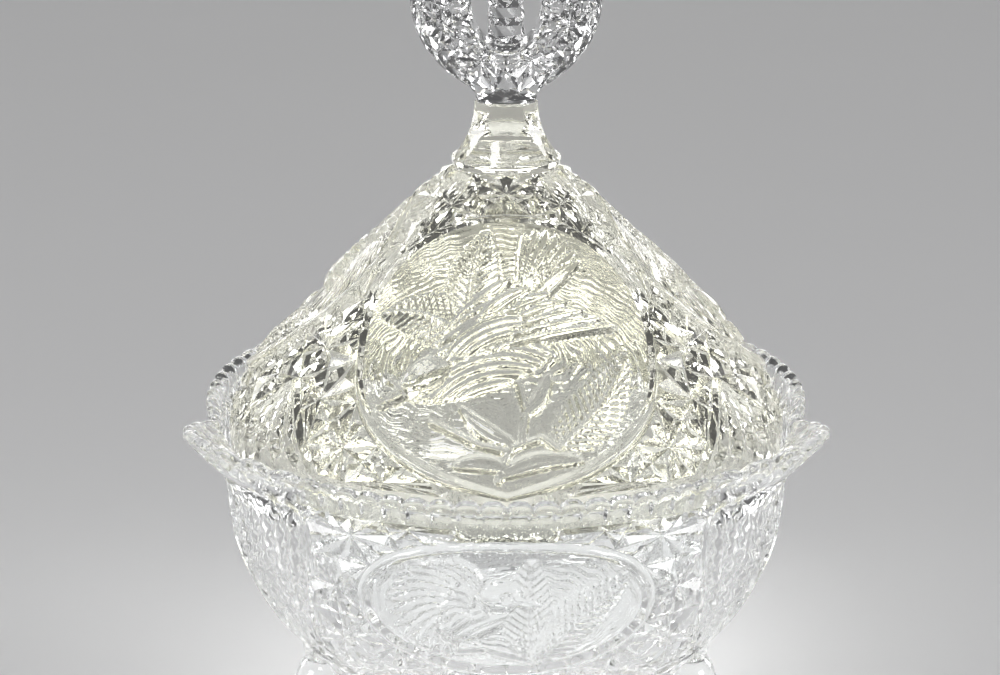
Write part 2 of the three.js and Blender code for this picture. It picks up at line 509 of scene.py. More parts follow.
# ---- the pictures inside the medallions ----
class Picture:
    """A relief on a level ground, as heights at scattered points."""

    def __init__(self, x, y):
        self.at = np.stack([x, y], axis=-1)
        self.height = np.zeros(len(x))

    def lay(self, inside, height):
        self.height = np.where(inside, height, self.height)

    def along(self, root, tip, bend=0.0):
        """Share of the way from root to tip, distance to the side of it, and its length."""
        root, tip = np.array(root, float), np.array(tip, float)
        length = np.hypot(*(tip - root))
        axis = (tip - root) / length
        off = self.at - root
        share = off @ axis / length
        side = off @ np.array([-axis[1], axis[0]])
        return share, side - bend * np.sin(np.pi * np.clip(share, 0, 1)), length

    def ripples(self, pitch, depth, centre, stretch):
        """Fine rings that spread over the ground."""
        off = (self.at - centre) * stretch
        distance = np.hypot(*off.T) + 0.5 * np.sin(self.at[:, 0] * 0.9) * np.cos(self.at[:, 1] * 0.4)
        self.height = self.height + depth * np.sin(2 * np.pi * distance / pitch)

    def plume(self, root, tip, width, crown, bend=0.0, base=0.2):
        """A long feather: rounded across, pointed at both ends, with a groove along its shaft."""
        share, side, _ = self.along(root, tip, bend)
        run = np.clip(share, 0, 1)
        edge = width * np.maximum(np.sin(np.pi * run**0.8), 1e-9) ** 0.55
        inside = (share > 0) & (share < 1) & (np.abs(side) < edge)
        rounded = np.sqrt(np.maximum(0, 1 - (side / np.maximum(edge, 1e-6)) ** 2))
        shaft = 0.35 * np.exp(-(side / 0.4) ** 2)
        self.lay(inside, base + crown * rounded - shaft)

    def fern(self, root, tip, width, bend=0.0, pitch=2.3):
        """A frond: a raised stem, with narrow leaflets slanting off it on both sides."""
        share, side, length = self.along(root, tip, bend)
        run = np.clip(share, 0.001, 0.999)
        phase = (share * length - 0.85 * np.abs(side)) / pitch
        barb = 1 - np.abs(2 * (phase - np.floor(phase)) - 1)
        edge = width * np.sin(np.pi * run**0.7) ** 0.65 * (0.82 + 0.18 * barb)
        inside = (share > 0) & (share < 1) & (np.abs(side) < edge)
        self.lay(inside, 0.05 + 1.15 * barb * (1 - 0.35 * np.abs(side) / np.maximum(edge, 1e-6)))
        self.lay((share > -0.12) & (share < 0.97) & (np.abs(side) < 0.75),
                 1.25 - 0.6 * (side / 0.75) ** 2)

    def twig(self, places, width, crown):
        """A rounded stem through a few places."""
        for a, b in zip(places, places[1:]):
            share, side, length = self.along(a, b)
            beyond = np.maximum(0, np.maximum(-share, share - 1)) * length
            off = np.hypot(side, beyond)
            rounded = crown * np.sqrt(np.maximum(0, 1 - (off / width) ** 2))
            self.lay((off < width) & (self.height < crown), rounded)

    def dome(self, centre, radii, angle, crown, base=0.0, streaks=0.0, pitch=2.0):
        """An oval hump, with streaks along it."""
        off = self.at - np.array(centre, float)
        cos, sin = math.cos(math.radians(angle)), math.sin(math.radians(angle))
        long, short = off @ np.array([cos, sin]), off @ np.array([-sin, cos])
        reach = (long / radii[0]) ** 2 + (short / radii[1]) ** 2
        wave = streaks * np.cos(2 * np.pi * (short + 0.02 * long**2) / pitch)
        self.lay(reach < 1, base + crown * np.sqrt(np.maximum(0, 1 - reach)) + wave)


def polar(centre, angle, length):
    return (centre[0] + length * math.cos(math.radians(angle)),
            centre[1] + length * math.sin(math.radians(angle)))


def lid_picture(x, y):
    """A songbird gliding down to the left, among fern fronds."""
    art = Picture(x, y)
    art.ripples(1.7, 0.07, (0, -2), (0.5, 1.0))
    art.fern((-10, 6), (-5, 34), 7.6, bend=1.2)
    art.fern((-11, 4), (-34, 15), 7.0, bend=-2.5)
    art.fern((13, -27), (32, 3), 7.2, bend=-2.0)
    art.twig([(-2, -35), (1, -27), (9, -24), (13, -27)], 1.1, 1.3)
    art.twig([(1, -28), (-7, -26), (-19, -19)], 1.0, 1.2)
    art.twig([(4, -26), (5, -17), (3, -9)], 1.0, 1.2)
    art.plume((-2, -34), (20, -29), 2.6, 1.1, bend=1.5)
    art.plume((0, -32), (-14, -31), 2.4, 1.1, bend=-1.0)
    art.plume((2, -26), (-12, -15), 2.5, 1.0, bend=1.5)
    art.plume((5, -18), (11, -6), 2.2, 1.0, bend=-0.8)
    tail = (5, 12)
    for i in range(7):
        art.plume(tail, polar(tail, 91 - 7.4 * i, 24 - 0.3 * (i - 3) ** 2), 2.2, 1.5)
    far_wing = (-18, 0)
    for i in range(3):
        art.plume(far_wing, polar(far_wing, 46 - 8 * i, 28 - 2 * i), 2.8, 1.4, bend=0.8)
    art.dome((-8, -3.5), (20, 8.6), 17, 1.9, streaks=0.25, pitch=2.4)
    for i in range(6):
        root = (-13 + 1.1 * i, -2.5 + 1.7 * i)
        art.plume(root, (29.5 - 4.6 * i, 9.5 + 1.5 * i), 2.7, 1.7, base=0.7, bend=1.2)
    art.dome((-5.5, 3.6), (10, 4.4), 27, 1.0, base=1.3, streaks=0.2, pitch=1.9)
    art.plume((-23.5, -8.2), (-33.5, -12.8), 1.9, 1.5, base=0.5)
    art.dome((-20.8, -6), (7.0, 5.4), 28, 2.4)
    art.dome((-24, -5.8), (1.1, 1.1), 0, 0.7, base=1.7)
    return art.height


def bowl_picture(x, y):
    """A perching songbird with its wing fanned out, and two fern fronds."""
    art = Picture(x, y)
    art.ripples(1.7, 0.07, (4, 0), (0.6, 1.0))
    art.fern((7, -16), (6, 15), 6.6, bend=1.0, pitch=2.2)
    art.fern((8, -15), (31, 8), 7.2, bend=2.0, pitch=2.2)
    art.twig([(7, -16), (-6, -12), (-20, -14)], 0.9, 1.0)
    wing = (-7, 1)
    for i in range(15):
        angle = 112 + 9.6 * i
        reach = 14.5 + 8.5 * math.cos(math.radians(angle - 185)) ** 2
        art.plume(wing, polar(wing, angle, reach), 2.1, 1.3, bend=-2.6)
    art.dome((-8, -1.5), (10, 6.2), 30, 1.6, streaks=0.2, pitch=2.0)
    for i in range(5):
        start = polar(wing, 120 + 25 * i, 1.5)
        art.plume(start, polar(start, 135 + 22 * i, 8), 1.9, 1.3, base=0.9, bend=-0.8)
    art.dome((-1.5, 4.2), (5.2, 4.6), 0, 2.0)
    art.plume((1.5, 4.2), (8.5, 2.0), 1.6, 1.3, base=0.4)
    art.dome((0, 5), (1.2, 1.2), 0, 0.4, base=0.8)
    return art.height


# ---- the lid ----
# The lid's wall unrolls to a part of a disc. s is the distance down the slope from the neck's top.
CONE_SHARE = math.sqrt(0.5)
POINT_TO_NECK = 3
STAR_TOP = 17.7
BORDER = 16.9
BAND_TOP = 108.4
LID_COLUMNS = 80                # points along one side's base
NECK_COLUMNS = 24
LID_BEAD = (                    # share of the rim's width from its edge, and lift
    (0.1, -0.2), (0.26, 0.4), (0.44, 0.65), (0.62, 0.5), (0.8, 0.05), (0.92, -0.4), (1.0, -0.65),
)


def lid_spot(degrees, s):
    turn = CONE_SHARE * math.radians(degrees)
    return ((s + POINT_TO_NECK) * math.sin(turn), (s + POINT_TO_NECK) * math.cos(turn))


def neck_corner(s):
    """Angle of the neck's corners: a hexagon on top, whose front panels widen downwards."""
    return np.radians(30 + 27 * np.clip(s / BORDER, 0, 1) ** 1.2)


def neck_lift(theta, s):
    """How far the neck's flat panels lie off a round neck."""
    off = np.abs(theta - TURN * np.round(theta / TURN))
    corner = neck_corner(s)
    front = 1 - (off / corner) ** 2
    side = 1 - ((HALF_TURN - off) / np.maximum(HALF_TURN - corner, 1e-6)) ** 2
    fade = np.clip(1 - s / BORDER, 0, 1)
    flat = np.where(off < corner, front * (0.25 + 0.75 * fade), side * fade)
    return np.where(s < BORDER + 0.01, 0.35 * fade**0.5 - flat, 0)


def lid_place(plane, lift):
    x, y = plane.T
    slope = np.hypot(x, y) - POINT_TO_NECK
    theta = np.arctan2(x, y) / CONE_SHARE
    radius, height, run, fall = lid_outside.at(slope)
    lift = lift + neck_lift(theta, slope)
    return upright(radius - lift * fall, theta, height + lift * run)


def lid_stars(medallion):
    """Each star as its hub, the ends of its grooves, and whether they close round it."""
    at = lid_spot
    f1, f2, f3 = (medallion.node(at(*p)) for p in ((17.5, 29.3), (44, 37.4), (54.2, 51.4)))
    f4, f5, f6 = (medallion.node(at(*p)) for p in ((51, 64.8), (46.5, 76.2), (38.8, 87.1)))
    f7, f8, _ = (medallion.node(at(*p)) for p in ((28.2, 96.6), (15, 104), (0, 107)))
    crown = medallion.node(at(0, 29.2))
    a0, a1, a2 = at(0, STAR_TOP), at(37, STAR_TOP), at(60, STAR_TOP)
    l2, l3, l4, l5 = at(60, 34), at(60, 51), at(60, 67.5), at(60, 85.5)
    e1, e2 = at(46.5, 100.3), at(41, 107)
    b0, b1, b2 = at(34, 107), at(26, 107.2), at(13, 107.2)
    halved = medallion.halved
    return [
        (at(0, 22.6), [a0, a1, medallion.middle(a1, f1), f1, crown], False),
        (at(43.8, 27.5), halved([a1, a2, l2, f2, f1]), True),
        (at(60, 42), halved([l2, f2, f3, l3], False), False),
        (at(60, 60), halved([l3, f3, f4, l4], False), False),
        (at(60, 75.3), halved([l4, f4, f5, l5], False), False),
        (at(48.9, 88), halved([f5, l5, e1, f6]), True),
        (at(36.6, 98.7), halved([f6, e1, e2, b0, f7]), True),
        (at(25.6, 105.2), halved([b1, b0, f7, f8, b2]), True),
    ]


def fan(sheet, edge_at, rows, flutes, columns, depth, ripple, place_at):
    """Concave flutes side by side, from the fan's edge to its middle line, as rows of points."""
    count = int(flutes / 2 * columns)
    ridges = [[] for _ in range(count + 1)]
    for along in rows:
        for j in range(count + 1):
            across = j / count
            phase = j / columns % 1
            hollow = math.sin(math.pi * phase) ** 0.8
            lift = -depth(along, phase) * hollow + ripple(along, phase) * hollow
            ridges[j].append(sheet.spot(place_at(along, edge_at(along), across), lift, True))
    for j in range(0, count + 1, columns):
        sheet.ridge(ridges[j])


def both_sides(sheet, build):
    """Build on the right half, then copy its new points and creases to the left half."""
    first_spot, first_crease, first_ridge = len(sheet.spots), len(sheet.creases), len(sheet.ridges)
    build()
    fresh = range(first_spot, len(sheet.spots))
    partner = {i: sheet.spot(mirrored(sheet.spots[i]), sheet.lifts[i], sheet.soft[i]) for i in fresh}

    def twin(i):
        return partner[i] if i in partner else sheet.spot(mirrored(sheet.spots[i]), sheet.lifts[i])

    sheet.creases += [(twin(a), twin(b)) for a, b in sheet.creases[first_crease:]]
    sheet.ridges += [(twin(a), twin(b)) for a, b in sheet.ridges[first_ridge:]]


def lid_fan(sheet):
    """Five flutes that spread from a point, on the line over a foot."""
    top, bottom = 86.6, 107.9

    def place_at(along, edge, across):
        return lid_spot(60 - edge * (1 - across), along)

    def edge_at(along):
        return 0.6 + 16.8 * ((along - top) / (bottom - top)) ** 1.02

    def depth(along, phase):
        point = bottom - 5.5 * abs(2 * phase - 1) ** 1.3
        return 1.9 * min(1, max(0, (point - along) / 3.2)) * min(1, 0.25 + (along - top) / 9)

    def ripple(along, phase):
        return 0.26 * math.sin(2 * math.pi * (along / 3.2 - 0.8 * (2 * phase - 1) ** 2))

    fan(sheet, edge_at, np.linspace(top, bottom, 32), 5, 8, depth, ripple, place_at)


def lid_neck(sheet):
    """The neck's flat panels, with a sharp ridge down each corner."""
    shares = np.linspace(0, 1, 7)
    corner_line = []
    for s in np.linspace(0, 15.6, 10)[1:]:
        corner = math.degrees(neck_corner(s))
        for share in shares:
            sheet.spot(lid_spot(corner * share, s), 0, True)
        corner_line.append(sheet.spot(lid_spot(corner, s), 0, True))
        for share in (0.5, 1):
            sheet.spot(lid_spot(corner + (60 - corner) * share, s), 0, True)
    sheet.ridge(corner_line)


def arc(s, step, start=0, end=60):
    return [lid_spot(start + (end - start) * i / step, s) for i in range(step + 1)]


def lid_wall(skin):
    sheet = Sheet()
    medallion = Medallion(sheet, 70.4, (41, 38.7), (2.8, 2.1), -1, tip=1.6)
    stars = lid_stars(medallion)
    medallion.mirror_nodes()
    medallion.edge(FRAME_EDGE)

    def half():
        for hub, ends, closed in stars:
            sheet.star(hub, ends, closed)
        lid_fan(sheet)
        lid_neck(sheet)
        sheet.line(arc(BORDER - 0.9, 30), 0.0)
        sheet.line(arc(BORDER - 0.45, 30), 0.5)
        sheet.line(arc(BORDER, 30), -0.1)
        for s in np.linspace(BAND_TOP, lid_outside.length, 6):
            sheet.line(arc(s, LID_COLUMNS // 2), 0.0)
        sheet.line(arc(0, NECK_COLUMNS // 2), 0.0)

    both_sides(sheet, half)

    def width(t):
        low = np.maximum(0, -np.sin(t))
        return 2.3 + 2.0 * (2 * low * np.abs(np.cos(t))) ** 1.5

    medallion.bead(width, LID_BEAD, lid_picture, PICTURE_GROUND, PICTURE_SPACING)

    def angle(spot):
        return math.atan2(*spot)

    def distance(spot):
        return math.hypot(*spot)

    edge = CONE_SHARE * HALF_TURN
    right = sheet.on_line(angle, edge, distance)
    left = sheet.on_line(angle, -edge, distance, backwards=True)
    top = sheet.on_line(distance, POINT_TO_NECK, angle)
    base = sheet.on_line(distance, lid_outside.length + POINT_TO_NECK, angle, backwards=True)
    border = top + right[1:] + base[1:] + left[1:-1]
    skin.wall(sheet, border, lid_place)


def make_lid(material):
    skin = Skin()
    lid_wall(skin)
    theta = circle(SIDES * LID_COLUMNS)
    outer = [upright(73.2, theta, LID_BASE)]
    inner = [upright(radius, theta, height) for radius, height in lid_inside.rows(34)]
    skin.rings(outer + inner)
    skin.cap(inner[-1], (0, 0, 140.3))
    neck = circle(SIDES * NECK_COLUMNS)
    radius, height, run, fall = lid_outside.at(0)
    lift = neck_lift((neck + HALF_TURN) % TURN - HALF_TURN, 0)
    ring = upright(radius - lift * fall, neck, height + lift * run)
    skin.cap(ring, (0, 0, NECK_TOP))
    return skin.piece("lid_glass", material)


# ---- the bowl ----
# The bowl's wall is laid flat as x = angle times FLAT_RADIUS and y = q. q is the height up to the
# lip's foot, and from there it runs LIP_SPAN further to the rim's edge, whatever the rim's height.
FLAT_RADIUS = 72
LIP_SPAN = 20
RIM_Q = LIP_FOOT + LIP_SPAN
BAND_Q = 73
TEETH = 26                      # rounded teeth along each side's rim
TOOTH = TURN / TEETH
TOOTH_STEPS = 8
FOOT_CIRCLE = 55
FOOT_HOLE = 6.2                 # radius of the ring where a foot grows out of the wall
FOOT_STEPS = 28
FOOT_NECK = [(5.6, 18), (5.2, 17.2)]
FOOT_BALL = [(5.6, 16.8), (7.0, 15), (8.1, 11.5), (8.3, 8), (7.6, 3.8), (6.0, 0.7), (5.2, 0)]
BASE_COLUMNS = 40               # points along one side's bottom edge
COLLAR_RADIUS = 75
COLLAR_TOP = 73.5
LEDGE = 67.2
FAN_HEIGHTS = (16, 20, 26, 33, 41.5, 49, 57, 67, 73)
FAN_HALF_WIDTHS = (7.4, 9, 11.2, 13.6, 15.8, 17.1, 17.7, 17.6, 17.2)
BOWL_BEAD = (
    (0.08, -0.1), (0.24, 0.5), (0.42, 0.75), (0.6, 0.6), (0.78, 0.15), (0.9, -0.35), (1.0, -0.65),
)
RIM_ROUND = (                   # inset, rise, and how deep a notch cuts, over the rim's teeth
    (-0.25, -0.55, 1.3), (-0.9, -0.05, 1.7), (-1.9, 0.05, 1.8), (-2.9, -0.45, 1.4), (-3.5, -1.2, 0.8),
)


def bowl_spot(degrees, q):
    return (math.radians(degrees) * FLAT_RADIUS, q)


def bowl_surface(theta, q):
    """Points on the smooth outer wall."""
    radius = np.interp(q, bowl_wall.fine[:, 1], bowl_wall.fine[:, 0])
    rim_radius, rim_height = rim_at(theta)
    t = np.clip((q - LIP_FOOT) / LIP_SPAN, 0, 1)
    foot, edge = (75, LIP_FOOT), (rim_radius - 0.1, rim_height - 1.4 - 1.2 * tooth_notch(theta))
    bend = (foot[0] + 0.36 * (edge[0] - foot[0]), foot[1] + 0.52 * (edge[1] - foot[1]))
    flare = [(1 - t) ** 2 * a + 2 * t * (1 - t) * b + t**2 * c for a, b, c in zip(foot, bend, edge)]
    on_lip = q > LIP_FOOT
    return upright(np.where(on_lip, flare[0], radius), theta, np.where(on_lip, flare[1], q))


def bowl_place(plane, lift):
    theta, q = plane[:, 0] / FLAT_RADIUS, plane[:, 1]
    step = 0.02
    here = bowl_surface(theta, q)
    around = bowl_surface(theta + step / FLAT_RADIUS, q) - bowl_surface(theta - step / FLAT_RADIUS, q)
    rise = bowl_surface(theta, np.minimum(q + step, RIM_Q)) - bowl_surface(theta, q - step)
    normal = np.cross(around, rise)
    normal /= np.linalg.norm(normal, axis=1)[:, None]
    return here + lift[:, None] * normal


def tooth_notch(theta):
    """0 on the top of a rim tooth, 1 in the notch between two."""
    phase = theta / TOOTH % 1
    return np.abs(2 * phase - 1) ** 3.2


def foot_hole(angle):
    """Point of the ring where the foot at 60 degrees grows out of the wall, on the flat sheet."""
    x = FOOT_CIRCLE + FOOT_HOLE * math.cos(angle)
    y = FOOT_HOLE * math.sin(angle)
    theta = HALF_TURN - math.atan2(y, x)
    height = np.interp(math.hypot(x, y), bowl_wall.fine[:, 0], bowl_wall.fine[:, 1])
    return theta * FLAT_RADIUS, float(height)


def fan_edge(q):
    """Half of the fan's width in degrees, at a height on the bowl."""
    return np.interp(q, FAN_HEIGHTS, FAN_HALF_WIDTHS)


def bowl_stars(medallion):
    """As lid_stars, on the bowl."""
    at = bowl_spot
    g1, g2, g3 = (medallion.node(at(*p)) for p in ((9.5, 69.5), (21.5, 65.5), (28, 58)))
    g4, g5, g6 = (medallion.node(at(*p)) for p in ((30.5, 40.5), (24.5, 33), (13.5, 29.3)))
    foot_of_frame = medallion.node(at(0, 28))
    b1, b2, b3, b4 = (at(degrees, BAND_Q) for degrees in (10, 24, 36, 42.3))
    n1, n2, n3, n4, n6 = (at(60 - fan_edge(q) - 0.4, q) for q in (67, 57.5, 41.5, 27, 18.5))
    n5, n8, m0 = at(34, 22.5), at(18, 18.7), at(0, 18.7)
    l0, l1, l2, l3 = (at(degrees, 8.6) for degrees in (0, 17.5, 35, 50.5))
    halved = medallion.halved
    return [
        (at(18.8, 70.6), halved([b1, b2, g2, g1]), True),
        (at(31.5, 65.6), halved([b2, b3, n1, n2, g3, g2]), True),
        (incentre(*(np.array(p) for p in (b3, b4, n1))), halved([b3, b4, n1]), True),
        (at(36.6, 49.5), halved([g3, n2, n3, g4]), True),
        (at(38.2, 32), halved([g4, n3, n4, n5, g5]), True),
        (at(24, 25.6), halved([g5, n5, n8, g6]), True),
        (at(8, 23.6), halved([foot_of_frame, g6, n8, m0]), True),
        (at(9, 13.4), halved([m0, n8, l1, l0]), True),
        (at(26.5, 14.3), halved([n8, n5, l2, l1]), True),
        (at(42.5, 16.5), halved([n5, n4, n6, l3, l2]), True),
    ]


def bowl_fan(sheet):
    """Seven long flutes over a foot, with nested ripples along them."""
    low, high = 24, 71.5

    def place_at(along, edge, across):
        return bowl_spot(60 - edge * (1 - across), along)

    def depth(along, phase):
        bow = (2 * phase - 1) ** 2
        top, bottom = high - 1.5 * bow, low + 1.0 + 1.2 * bow
        ends = min(1, max(0, (top - along) / 4)) * min(1, max(0, (along - bottom) / 4))
        return 1.7 * ends ** 0.8 * (0.45 + 0.55 * (along - low) / (high - low))

    def ripple(along, phase):
        swing = 0.9 * (2 * phase - 1) ** 2
        share = math.sin(math.pi * (along - low) / (high - low)) ** 0.5
        return 0.42 * share * math.sin(2 * math.pi * (along / 4.6 + swing + 0.04 * math.sin(along)))

    fan(sheet, fan_edge, np.linspace(low, high, 64), 7, 8, depth, ripple, place_at)


def rim_band(sheet):
    """A row of pressed rounded rectangles under the rim's teeth."""
    low, high = BAND_Q + 1.3, RIM_Q - 1.1
    middle, half_height = (low + high) / 2, (high - low) / 2

    def box(centre, share, inset, lift):
        half = math.degrees(TOOTH) / 2 * share
        tall = half_height - inset
        cut = 0.3
        corners = [(-1, -1 + cut), (-1, 1 - cut), (-1 + cut, 1), (1 - cut, 1),
                   (1, 1 - cut), (1, -1 + cut), (1 - cut, -1), (-1 + cut, -1)]
        places = [bowl_spot(centre + half * a, middle + tall * b) for a, b in corners]
        sheet.line(places, lift, closed=True)

    for i in range(TEETH // 2):
        centre = math.degrees(TOOTH) * (i + 0.5)
        box(centre, 0.78, 0, 0.0)
        box(centre, 0.58, 0.75, -0.75)
        box(centre, 0.2, 2.2, -0.9)


def row(q, start, end, steps):
    return [bowl_spot(start + (end - start) * i / steps, q) for i in range(steps + 1)]


def bowl_wall_sheet(skin):
    sheet = Sheet()
    medallion = Medallion(sheet, 48.6, (38.4, 20.4), (2.15, 2.15), 1)
    stars = bowl_stars(medallion)
    medallion.mirror_nodes()
    medallion.edge(FRAME_EDGE)
    steps = TEETH // 2 * TOOTH_STEPS

    def half():
        for hub, ends, closed in stars:
            sheet.star(hub, ends, closed)
        bowl_fan(sheet)
        rim_band(sheet)
        sheet.line(row(BAND_Q + 0.6, 0, 60, 40), 0.15)
        sheet.line(row(RIM_Q - 0.5, 0, 60, steps), 0.0)
        sheet.line(row(RIM_Q, 0, 60, steps), 0.0)
        sheet.line(row(7.6, 0, 52, 26), 0.0)
        sheet.line(row(BOWL_BOTTOM, 0, 60, BASE_COLUMNS // 2), 0.0)
        hole = [foot_hole(math.pi * i / (FOOT_STEPS // 2)) for i in range(FOOT_STEPS // 2 + 1)]
        sheet.line(hole, -0.1)
        for q in (22.4, 23.2):
            sheet.line([bowl_spot(60 - fan_edge(q) * (1 - i / 8), q) for i in range(9)], 0.0)

    both_sides(sheet, half)

    def width(t):
        return 3.3 + 0.5 * np.cos(t) ** 2

    medallion.bead(width, BOWL_BEAD, bowl_picture, PICTURE_GROUND, PICTURE_SPACING)

    def across(spot):
        return spot[0]

    def upwards(spot):
        return spot[1]

    edge = HALF_TURN * FLAT_RADIUS
    right = sheet.on_line(across, edge, upwards)
    left = sheet.on_line(across, -edge, upwards, backwards=True)
    base = sheet.on_line(upwards, BOWL_BOTTOM, across)
    rim = sheet.on_line(upwards, RIM_Q, across, backwards=True)
    hole = [sheet.spot(foot_hole(math.pi - math.pi * i / (FOOT_STEPS // 2)), 0)
            for i in range(FOOT_STEPS // 2 + 1)]
    hole_left = [sheet.spot(mirrored(sheet.spots[i]), 0) for i in reversed(hole)]

    def under(ids):
        return [i for i in ids if sheet.spots[i][1] < sheet.spots[hole[0]][1] - 1e-6]

    def over(ids):
        return [i for i in ids if sheet.spots[i][1] > sheet.spots[hole[-1]][1] + 1e-6]

    border = (base + under(right)[1:] + hole + over(right)[:-1] + rim
              + over(left)[1:] + hole_left + under(left)[:-1])
    skin.wall(sheet, border, bowl_place)


def rim_rings():
    """Rings from the rim's outer edge, over the teeth and down the lip's inner side to the ledge."""
    count = SIDES * TEETH * TOOTH_STEPS
    theta = circle(count)
    radius, height = rim_at(theta)
    flare = radius - 79
    notch = tooth_notch(theta)
    lobe = np.clip((radius - 84) / 5, 0, 1)
    rib = lobe * (np.abs(2 * (theta / TOOTH * 2 % 1) - 1) - 0.5)
    inner_radius = COLLAR_RADIUS + 1 + 0.3 * flare
    inner_height = COLLAR_TOP + 2.2 + 0.18 * flare
    edge = bowl_surface(theta, np.full(count, float(RIM_Q)))
    rings = [edge]
    for inset, rise, bite in RIM_ROUND:
        rings.append(upright(radius + inset, theta, height + rise - bite * notch))
    start_radius, start_height = radius + RIM_ROUND[-1][0], height + RIM_ROUND[-1][1]
    for share in (0.2, 0.4, 0.6, 0.8, 1.0):
        sag = 0.6 * math.sin(math.pi * share)
        r = start_radius + share * (inner_radius - start_radius)
        z = start_height + share * (inner_height - start_height) - sag
        fade = math.sin(math.pi * min(1, share + 0.15)) if share < 1 else 0
        rings.append(upright(r, theta, z + 1.5 * fade * rib))
    rings.append(upright(COLLAR_RADIUS + 0.2, theta, COLLAR_TOP + 0.5))
    rings.append(upright(COLLAR_RADIUS, theta, COLLAR_TOP - 0.6))
    rings.append(upright(COLLAR_RADIUS, theta, LEDGE))
    return theta, rings


def make_foot(skin, side):
    """A round knob that grows out of the wall."""
    steps = FOOT_STEPS // 2
    right = [foot_hole(math.pi * i / steps) for i in range(steps + 1)]
    plane = np.array(right + [(2 * HALF_TURN * FLAT_RADIUS - x, q) for x, q in right[-2:0:-1]])
    top = bowl_place(plane, np.full(len(plane), -0.1))
    centre = upright(FOOT_CIRCLE, HALF_TURN, 0.0)
    out = top - centre
    around = np.arctan2(out[:, 1], out[:, 0])
    rings = [top]
    for step, (radius, height) in enumerate(FOOT_NECK + list(smooth_curve(FOOT_BALL, 4))):
        level = np.minimum(height, top[:, 2] - 0.3 * (step + 1))
        ring = np.stack([radius * np.cos(around), radius * np.sin(around), level], axis=-1) + centre
        rings.append(ring)
    rings = [turned(ring, side * TURN) for ring in rings]
    skin.rings(rings)
    skin.cap(rings[-1], turned(centre, side * TURN))


def make_bowl(material):
    skin = Skin()
    bowl_wall_sheet(skin)
    theta, rings = rim_rings()
    inner = [upright(radius, theta, height) for radius, height in bowl_inside.rows(26)]
    skin.rings(rings + inner)
    skin.cap(inner[-1], (0, 0, 9.2))
    base = circle(SIDES * BASE_COLUMNS)
    bottom = [upright(radius, base, BOWL_BOTTOM) for radius in (38, 34, 24, 12)]
    skin.rings(bottom)
    skin.cap(bottom[-1], (0, 0, BOWL_BOTTOM))
    for side in range(SIDES):
        make_foot(skin, side)
    return skin.piece("bowl_glass", material)


# ---- the finial ----
# The ring stands in the XZ plane; its flat sheet is x and height over its centre.
RING_CENTRE = 188.5
RING_RADIUS = 24.6
HOLE = (9.0, 13.0)
HOLE_DROP = 1.0                 # the hole's centre lies this far under the ring's
RING_STEPS = 96
HOLE_STEPS = 64
STEM_BASE = 161.5
STEM_HALF = 8.0                 # half the stem's width
STEM_DRAW = 17                  # the plate outside this radius is drawn down to make the stem
STAR_RIM = 18.4                 # radius of the stars' outer corners
KITE_SIDE = 22.4                # radius of the kites' side corners
BULGES = 10
BULGE_PITCH = 2.36


def round_at(radius, degrees):
    return polar((0, 0), degrees, radius)


def hole_at(grow, degrees):
    x, z = math.cos(math.radians(degrees)), math.sin(math.radians(degrees))
    return ((HOLE[0] + grow) * x, (HOLE[1] + grow) * z - HOLE_DROP)


def ring_place(plane, lift):
    """Points on the ring's front face, whose lower end is drawn out into a stem for the neck."""
    radius = np.hypot(*plane.T)
    off_stem = np.abs(np.arctan2(plane[:, 0], -plane[:, 1]))
    below = (RING_CENTRE - STEM_BASE) / np.cos(np.minimum(off_stem, 1))
    side = np.where(off_stem < 1, STEM_HALF / np.maximum(np.sin(off_stem), 0.1), 0)
    reach = (RING_RADIUS**20 + np.minimum(below, side) ** 20) ** (1 / 20)
    share = np.clip((radius - STEM_DRAW) / (RING_RADIUS - STEM_DRAW), 0, 1)
    x, up = (plane * (1 + share * (reach / RING_RADIUS - 1))[:, None]).T
    height = np.maximum(RING_CENTRE + up, STEM_BASE)
    out = radius - 3.4 * np.exp(-(np.degrees(off_stem) / 24) ** 2)
    depth = np.interp(out, [17.5, 21.5, 23.6, RING_RADIUS], [7, 5.4, 3.4, 1.0])
    inside_hole = np.hypot(plane[:, 0] / HOLE[0], (plane[:, 1] + HOLE_DROP) / HOLE[1])
    depth = depth - 0.8 * np.clip((1.05 - inside_hole) / 0.05, 0, 1) + lift
    column = np.sqrt(np.maximum(8.4**2 - x**2, 3.0**2))
    in_stem = np.clip((167.5 - height) / 5, 0, 1)
    depth = depth + in_stem * (np.minimum(depth, column) - depth)
    return np.stack([x, -depth, height], axis=-1)


